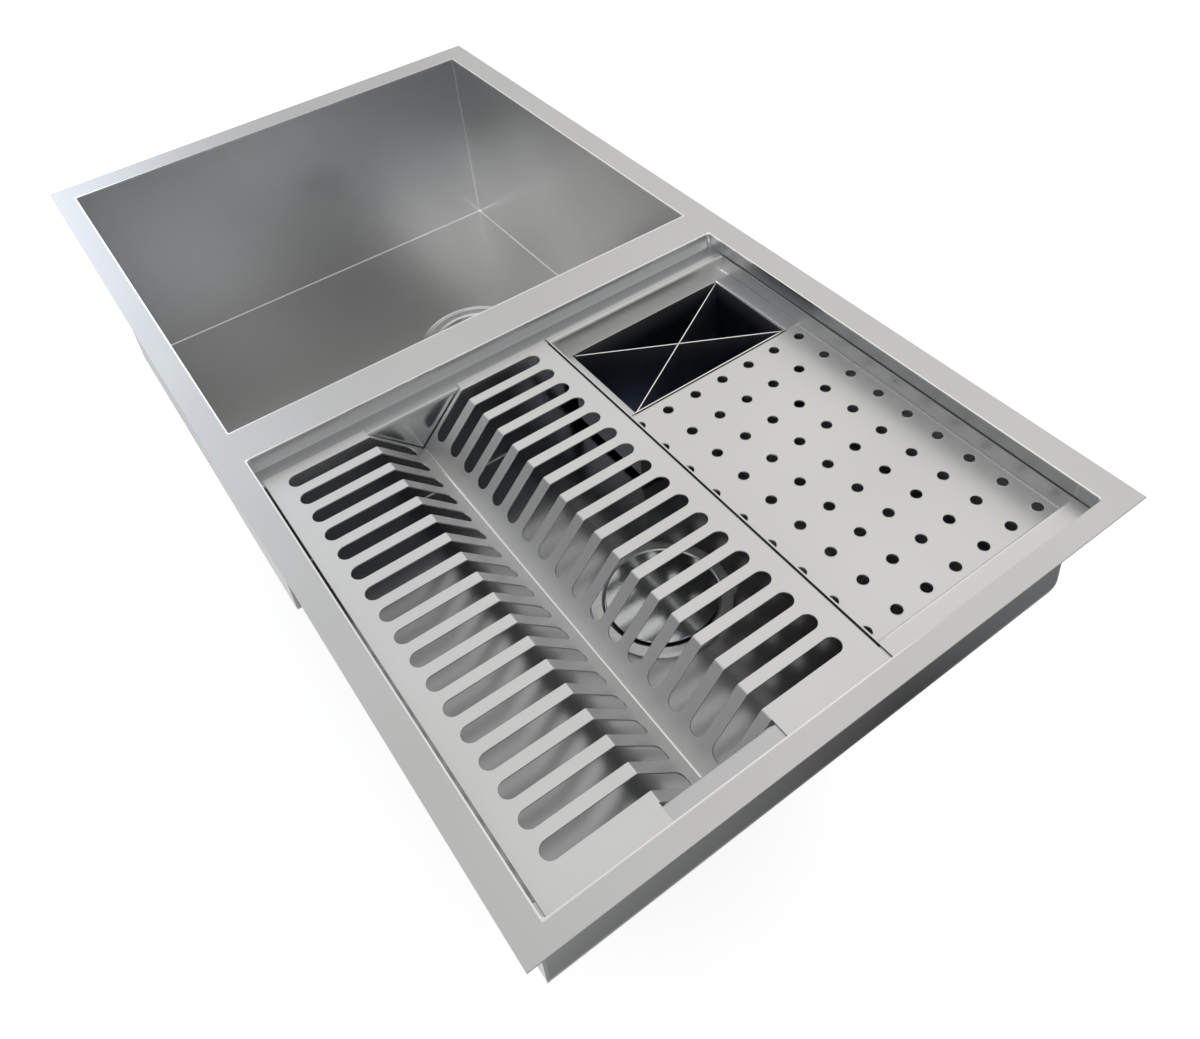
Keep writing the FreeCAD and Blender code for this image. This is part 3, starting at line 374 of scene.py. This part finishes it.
# ---------------------------------------------------------------------------------------------
# Rack and tray: thinner sheet, laser cut, with its cut edges tumbled and a fine matt face.
# ---------------------------------------------------------------------------------------------


# Y and Z of the gap between the rack and the tray, Y of the V's bottom, Y of the foot of the
# tray's rear wall, and X of the bend of the tray's near lip, in metres.
RACK_TRAY_GAP = (0.0325, -0.0158)
VALLEY_LINE = -0.097
TRAY_FOOT = 0.222
TRAY_NEAR_BEND = 0.4251


def rack_gap_shade(x, y, z):
    """A mask of the painted shade on the two edges that face each other between the rack and the
    tray.
    """
    between = 1.0 - (y - RACK_TRAY_GAP[0]).size().rise(0.0014, 0.0018)
    return between * (1.0 - (z - RACK_TRAY_GAP[1]).size().rise(0.0008, 0.0012))


def sheet_fold_highlights(x, y, z):
    """A mask of the painted highlight along the bottom of the rack's V, the fold along the tray's
    rear wall, and the bend of the tray's near lip."""
    valley = ((1.0 - (y - VALLEY_LINE).size().rise(0.0007, 0.0012))
              * (1.0 - z.rise(-0.05, -0.045)))
    pan = y.rise(TRAY_FOOT - 0.0006, TRAY_FOOT - 0.0001) * (1.0 - z.rise(-0.0297, -0.0292)) * 0.9
    near_lip = z.above(-0.0172) * (1.0 - (x - TRAY_NEAR_BEND).size().rise(0.0009, 0.0015)) * 0.5
    return valley + pan + near_lip * y.above(RACK_TRAY_GAP[0] + 0.0075)


# Painted shade: near black on the two edges facing each other across the gap between the rack and
# the tray. Painted highlight along the bottom of the rack's V, the fold at the foot of the tray's
# rear wall and the bend of its near lip.
accessory_steel = brushed("accessory_steel", (0.72, 0.72, 0.71), 0.42, "x", 0.5,
                          painted_shade=(rack_gap_shade, (0.06, 0.06, 0.06)), painted_highlight=sheet_fold_highlights)
broken_edges("plate_rack", "rack", "accessory_sheet", accessory_steel,
             (0.8, 3, lambda middle, turn: (turn < 0 and middle.z < -50.0
                                            and abs(middle.y - VALLEY_LINE * 1000.0) < 2.0)),
             (0.2, 2, lambda middle, turn: turn > 0))
broken_edges("drain_tray", "tray", "accessory_sheet", accessory_steel,
             (1.2, 3, lambda middle, turn: turn < 0 and middle.z < -30.0 and middle.y > 222.0),
             (0.2, 2, lambda middle, turn: turn > 0))

# ---------------------------------------------------------------------------------------------
# Lips of the tray's drain holes: punched from below, which leaves a low round lip at each hole.
# ---------------------------------------------------------------------------------------------


class Growth(Web):
    """A Geometry Nodes tree with named inputs for its sizes."""

    def __init__(self, name, *sizes):
        super().__init__(bpy.data.node_groups.new(name, "GeometryNodeTree"))
        ports = self.tree.interface
        ports.new_socket("Geometry", in_out="OUTPUT", socket_type="NodeSocketGeometry")
        ports.new_socket("Material", in_out="INPUT", socket_type="NodeSocketMaterial")
        for size in sizes:
            ports.new_socket(size, in_out="INPUT", socket_type="NodeSocketFloat")
        wires = self.add("NodeGroupInput", {})
        self.given = dict(zip(("Material",) + sizes, wires))

    def end(self, shape):
        """Smooth, real and dressed."""
        smooth = self.add("GeometryNodeSetShadeSmooth", {}, shape)[0]
        real = self.add("GeometryNodeRealizeInstances", {}, smooth)[0]
        dressed = self.add("GeometryNodeSetMaterial", {}, real, Material=self.given["Material"])
        self.add("NodeGroupOutput", {}, dressed[0])

    def moved(self, shape, x, y, z):
        spot = self.add("ShaderNodeCombineXYZ", {}, x, y, z)[0]
        return self.add("GeometryNodeTransform", {}, shape, Translation=spot)[0]


def grown(tree, name, body, slot, finish, **sizes):
    """A piece made by a tree with these sizes, in metres."""
    seed = bpy.data.objects.new(name + "_seed", bpy.data.meshes.new(name + "_seed"))
    bpy.context.scene.collection.objects.link(seed)
    growth = seed.modifiers.new(name, "NODES")
    growth.node_group = tree.tree
    for port in tree.tree.interface.items_tree:
        if port.in_out == "INPUT":
            value = finish.material if port.name == "Material" else sizes[port.name]
            growth[port.identifier] = value
    return finished(name, evaluated(seed), body, slot, finish)


lips = Growth("punched_lips", "radius", "lip", "length", "width", "rows", "columns",
              "middle_x", "middle_y", "height")
round_hole = lips.add("GeometryNodeCurvePrimitiveCircle", {}, Resolution=20,
                      Radius=lips.given["radius"] + lips.given["lip"])[0]
lip_section = lips.add("GeometryNodeCurvePrimitiveCircle", {}, Resolution=6,
                       Radius=lips.given["lip"])[0]
one_lip = lips.add("GeometryNodeCurveToMesh", {}, round_hole, lip_section)[0]
spots = lips.add("GeometryNodeMeshGrid", {}, lips.given["length"], lips.given["width"],
                 lips.given["rows"], lips.given["columns"])[0]
placed = lips.add("GeometryNodeInstanceOnPoints", {}, spots, Instance=one_lip)[0]
lips.end(lips.moved(placed, lips.given["middle_x"], lips.given["middle_y"], lips.given["height"]))
grown(lips, "tray_hole_lips", "tray", "accessory_sheet", accessory_steel, radius=0.0044,
      lip=0.00025, length=0.2501, width=0.1698, rows=9.0, columns=7.0, middle_x=0.2822,
      middle_y=0.1273, height=-0.0305)

# ---------------------------------------------------------------------------------------------
# Cutlery box and its two crossed plates: folded box, darker inside where little light comes.
# ---------------------------------------------------------------------------------------------


# The box's walls from left to right and from front to rear, in metres.
BOX_LENGTH = (0.04995, 0.14395)
BOX_WIDTH = (0.0479, 0.2083)


def box_inside_shade(x, y, z):
    """A mask of the painted shade in the box's inside, more and more with depth."""
    within = 1.0 - beyond(x, BOX_LENGTH).rise(-0.0008, -0.0004)
    between = 1.0 - beyond(y, BOX_WIDTH).rise(-0.0008, -0.0004)
    return within * between * (1.0 - z.rise(-0.055, -0.03))


def box_mouth_highlight(x, y, z):
    """A mask of the painted highlight along the bend from the box's walls to its flange."""
    outside = beyond(x, BOX_LENGTH).maths("MAXIMUM", beyond(y, BOX_WIDTH))
    return z.above(-0.0307) * (1.0 - (outside + 0.0007).size().rise(0.0007, 0.0011))


# Painted shade inside the box, dark and bluish, deeper with depth, and a painted highlight along
# the bend at its mouth.
broken_edges("cutlery_box", "box", "box_sheet",
             brushed("box_steel", (0.6, 0.61, 0.62), 0.36, "x", 0.8,
                     painted_shade=(box_inside_shade, (0.14, 0.16, 0.2)), painted_highlight=box_mouth_highlight),
             (0.2, 2, lambda middle, turn: turn > 0))
# The dividers' steel is darker and bluer than the box's, and darker still inside the box: painted
# shade and painted reflection of the box's dark walls. A painted highlight runs along their top
# edges.
divider_steel = brushed("divider_steel", (0.5, 0.53, 0.58), 0.3, "x", 0.6,
                        painted_shade=(box_inside_shade, (0.38, 0.41, 0.46)),
                        painted_highlight=lambda x, y, z: z.rise(-0.0309, -0.0306))
for plate in ("divider_plate_lower", "divider_plate_upper"):
    broken_edges(plate, "dividers", "divider_sheet", divider_steel,
                 (0.2, 2, lambda middle, turn: turn > 0))

# ---------------------------------------------------------------------------------------------
# Drains: under each bowl a strainer held by a rubber washer, a fibre ring and a die-cast nut, and
# a chromed tailpiece held by its coupling nut. A basket sits in each strainer, and a smooth disc
# covers the one in the work bowl.
# ---------------------------------------------------------------------------------------------


def plain_finish(name, colour, rough, metal, grit, depth):
    """An evenly textured finish: cast metal, rubber, fibre or plastic."""
    finish = Finish(name)
    x, y, z = finish.place()
    speck = finish.noise(x * grit, y * grit, z * grit, 3.0)
    finish.set(Base_Color=finish.blend(speck, shade(colour, 0.85), shade(colour, 1.15)),
               Metallic=metal, Roughness=(speck - 0.5) * 0.15 + rough)
    finish.bump(speck, depth, 0.6)
    return finish


for prefix in ("plain", "work"):
    dress(plain_finish(prefix + "_strainer_steel", (0.8, 0.81, 0.82), 0.3, 1.0, 900.0, 0.00002),
          prefix + "_strainer")
    dress(plain_finish(prefix + "_basket_steel", (0.66, 0.67, 0.68), 0.2, 1.0, 900.0, 0.00004),
          prefix + "_basket")
    dress(plain_finish(prefix + "_chrome", (0.75, 0.75, 0.75), 0.08, 1.0, 300.0, 0.00001),
          prefix + "_tailpiece", prefix + "_coupling_nut", prefix + "_basket_post")
    dress(plain_finish(prefix + "_die_cast", (0.42, 0.42, 0.41), 0.5, 1.0, 700.0, 0.0002),
          prefix + "_locknut")
    dress(plain_finish(prefix + "_rubber", (0.03, 0.03, 0.03), 0.6, 0.0, 1200.0, 0.0001),
          prefix + "_seal_washer", prefix + "_basket_stopper", prefix + "_sound_pad")
    dress(plain_finish(prefix + "_fibre", (0.4, 0.28, 0.18), 0.85, 0.0, 1500.0, 0.0001),
          prefix + "_friction_ring")
    dress(plain_finish(prefix + "_white_plastic", (0.85, 0.85, 0.83), 0.4, 0.0, 800.0, 0.00003),
          prefix + "_tail_washer")

# The rolled thread on each cup below its locknut, and on each outlet above its coupling nut.
thread = Growth("thread", "radius", "depth", "turns", "height", "x", "y", "z")
helix = thread.add("GeometryNodeCurveSpiral", {}, Resolution=40, Rotations=thread.given["turns"],
                   Start_Radius=thread.given["radius"], End_Radius=thread.given["radius"],
                   Height=thread.given["height"])[0]
ridge = thread.add("GeometryNodeCurvePrimitiveCircle", {}, Resolution=4,
                   Radius=thread.given["depth"])[0]
wound = thread.add("GeometryNodeCurveToMesh", {}, helix, ridge, Fill_Caps=True)[0]
thread.end(thread.moved(wound, thread.given["x"], thread.given["y"], thread.given["z"]))
thread_steel = plain_finish("thread_steel", (0.6, 0.61, 0.62), 0.3, 1.0, 900.0, 0.00004)
for prefix, x, y, seat in (("plain", -0.24725, 0.087, -0.224), ("work", *WORK_DRAIN, -0.115)):
    grown(thread, prefix + "_cup_thread", "sink", "strainer_steel", thread_steel, radius=0.0446,
          depth=0.0005, turns=7.5, height=0.0165, x=x, y=y, z=seat - 0.0345)
    grown(thread, prefix + "_outlet_thread", "sink", "strainer_steel", thread_steel,
          radius=0.0234, depth=0.0005, turns=2.0, height=0.0044, x=x, y=y, z=seat - 0.0495)

dress(plain_finish("cover_polish", (0.6, 0.62, 0.64), 0.12, 1.0, 400.0, 0.00002),
      "work_cover_disc")

# ---------------------------------------------------------------------------------------------
# Weld seams: the bowls are welded to the rim from below, where the row of beads is left as it is.
# ---------------------------------------------------------------------------------------------

seam = Growth("weld_seam", "length", "width", "step", "bead", "x", "y", "z")
path = seam.add("GeometryNodeCurvePrimitiveQuadrilateral", {}, seam.given["length"],
                seam.given["width"])[0]
steps = seam.add("GeometryNodeResampleCurve", {"mode": "LENGTH"}, path,
                 Length=seam.given["step"])[0]
bead = seam.add("GeometryNodeMeshIcoSphere", {}, seam.given["bead"], 2)[0]
row = seam.add("GeometryNodeInstanceOnPoints", {}, steps, Instance=bead)[0]
seam.end(seam.moved(row, seam.given["x"], seam.given["y"], seam.given["z"]))
weld_steel = plain_finish("weld_steel", (0.5, 0.47, 0.43), 0.42, 1.0, 600.0, 0.00008)
# The beads run this much wider than the openings, half of it on each side.
SEAM_OUTSIDE = 0.0028
for prefix, (far, near) in (("plain", PLAIN_OPENING), ("work", WORK_OPENING)):
    grown(seam, prefix + "_weld_seam", "sink", "sheet", weld_steel,
          length=near - far + SEAM_OUTSIDE,
          width=OPENING_DEPTH[1] - OPENING_DEPTH[0] + SEAM_OUTSIDE, step=0.0026, bead=0.0015,
          x=(near + far) / 2, y=(OPENING_DEPTH[0] + OPENING_DEPTH[1]) / 2, z=-0.0018)

# ---------------------------------------------------------------------------------------------
# Studio: white floor, and light from all round: an even white ceiling, one bright panel low on
# the far left, one behind the camera, a warmer one at the rear, and dark below the near end.
# ---------------------------------------------------------------------------------------------

FLOOR_HEIGHT = cad_box[0].z - 0.004
floor_mesh = bpy.data.meshes.new("floor")
reach = 6.0
floor_mesh.from_pydata([(-reach, -reach, FLOOR_HEIGHT), (reach, -reach, FLOOR_HEIGHT),
                        (reach, reach, FLOOR_HEIGHT), (-reach, reach, FLOOR_HEIGHT)], [],
                       [(0, 1, 2, 3)])
floor = bpy.data.objects.new("floor", floor_mesh)
bpy.context.scene.collection.objects.link(floor)
floor_finish = Finish("floor_white")
floor_finish.set(Base_Color=(0.9, 0.9, 0.9, 1.0), Roughness=0.9, Emission_Color=(1, 1, 1, 1),
                 Emission_Strength=0.55)
floor_mesh.materials.append(floor_finish.material)
floor.visible_glossy = False

world = bpy.data.worlds.new("studio")
bpy.context.scene.world = world
world.use_nodes = True
studio = Web(world.node_tree)
look = studio.add("ShaderNodeTexCoord", {})[0]
to_x, to_y, to_z = studio.split(look)


def panel(direction, inner, outer):
    """1 within inner degrees of a direction, falling to 0 at outer degrees."""
    toward = Vector(direction).normalized()
    near = to_x * toward.x + to_y * toward.y + to_z * toward.z
    return near.rise(math.cos(math.radians(outer)), math.cos(math.radians(inner)))


overhead = to_z.rise(-0.05, 0.25)
left_panel = (to_z.rise(0.2, 0.36) * (1.0 - to_z.rise(0.5, 0.74)) * to_x.rise(0.0, -0.2)
              * (1.0 - to_y.rise(0.07, 0.14)) * to_y.rise(-0.6, -0.4))
warm_panel = panel((-0.6, 0.75, 1.0), 18.0, 34.0)
back_panel = panel((0.74, -0.45, 0.55), 12.0, 32.0)
left_gap = panel((-0.95, 0.2, 1.1), 8.0, 28.0)
low_gap = panel((-0.95, 0.23, 0.45), 3.0, 12.0)
front_gap = panel((-0.55, -0.8, 0.3), 16.0, 40.0)
right_gap = panel((0.8, 0.12, 0.58), 12.0, 38.0)
upper_gap = panel((-0.55, -0.5, 0.7), 12.0, 30.0)
front_low = panel((-0.5, -0.2, -0.85), 20.0, 48.0)
near_low = panel((0.3, 0.1, -0.95), 4.0, 20.0)
near_dark = panel((0.37, 0.3, -0.88), 6.0, 18.0)
level = 0.32 + overhead * 0.48 + left_panel * 1.5 + warm_panel * 0.15 + back_panel * 0.8
level = level + front_low * 0.5 + near_low * 0.18 - near_dark * 0.24
level = level - left_gap * 0.12 - low_gap * 0.2 - front_gap * 0.5 - right_gap * 0.55
level = (level - upper_gap * 0.5).maths("MAXIMUM", 0.04)
colour = studio.blend(warm_panel, (1.0, 1.0, 1.0, 1.0), (1.0, 0.98, 0.95, 1.0))
colour = studio.blend(left_panel, colour, (0.88, 0.97, 1.1, 1.0))
backdrop = studio.tree.nodes["Background"]
studio.tree.links.new(colour.socket, backdrop.inputs["Color"])
studio.tree.links.new(level.socket, backdrop.inputs["Strength"])
lit = Wire(studio, backdrop.outputs[0])
white = studio.add("ShaderNodeBackground", {}, (1.0, 1.0, 1.0, 1.0), 1.0)[0]
by_camera = studio.add("ShaderNodeLightPath", {})[0]
shown = studio.add("ShaderNodeMixShader", {}, by_camera, lit, white)[0]
studio.tree.links.new(shown.socket, studio.tree.nodes["World Output"].inputs["Surface"])

# ---------------------------------------------------------------------------------------------
# Camera: where the photographer stood, off to the right of the near end.
# ---------------------------------------------------------------------------------------------

PHOTO_WIDTH, PHOTO_HEIGHT = 1200.0, 1039.0
FOCAL_PIXELS = 1157.1
CENTRE_X, CENTRE_Y = 614.0, 300.0
EYE = Vector((0.71965, -0.3170, 0.6188))
AZIMUTH, ELEVATION, ROLL = math.radians(58.33), math.radians(37.91), math.radians(-5.88)

lens = bpy.data.cameras.new("photo_camera")
lens.sensor_fit = "HORIZONTAL"
lens.sensor_width = 36.0
lens.lens = FOCAL_PIXELS * lens.sensor_width / PHOTO_WIDTH
lens.shift_x = (PHOTO_WIDTH / 2 - CENTRE_X) / PHOTO_WIDTH
lens.shift_y = (CENTRE_Y - PHOTO_HEIGHT / 2) / PHOTO_WIDTH
lens.clip_start, lens.clip_end = 0.01, 30.0
camera = bpy.data.objects.new("photo_camera", lens)
bpy.context.scene.collection.objects.link(camera)
bpy.context.scene.camera = camera
forward = Vector((-math.sin(AZIMUTH) * math.cos(ELEVATION),
                  math.cos(AZIMUTH) * math.cos(ELEVATION), -math.sin(ELEVATION)))
level_line = forward.cross(Vector((0, 0, 1))).normalized()
upright = level_line.cross(forward)
right = level_line * math.cos(ROLL) + upright * math.sin(ROLL)
up = right.cross(forward)
turn = Matrix((right, up, -forward)).transposed().to_4x4()
camera.matrix_world = Matrix.Translation(EYE) @ turn

bpy.context.scene.view_settings.view_transform = "Standard"
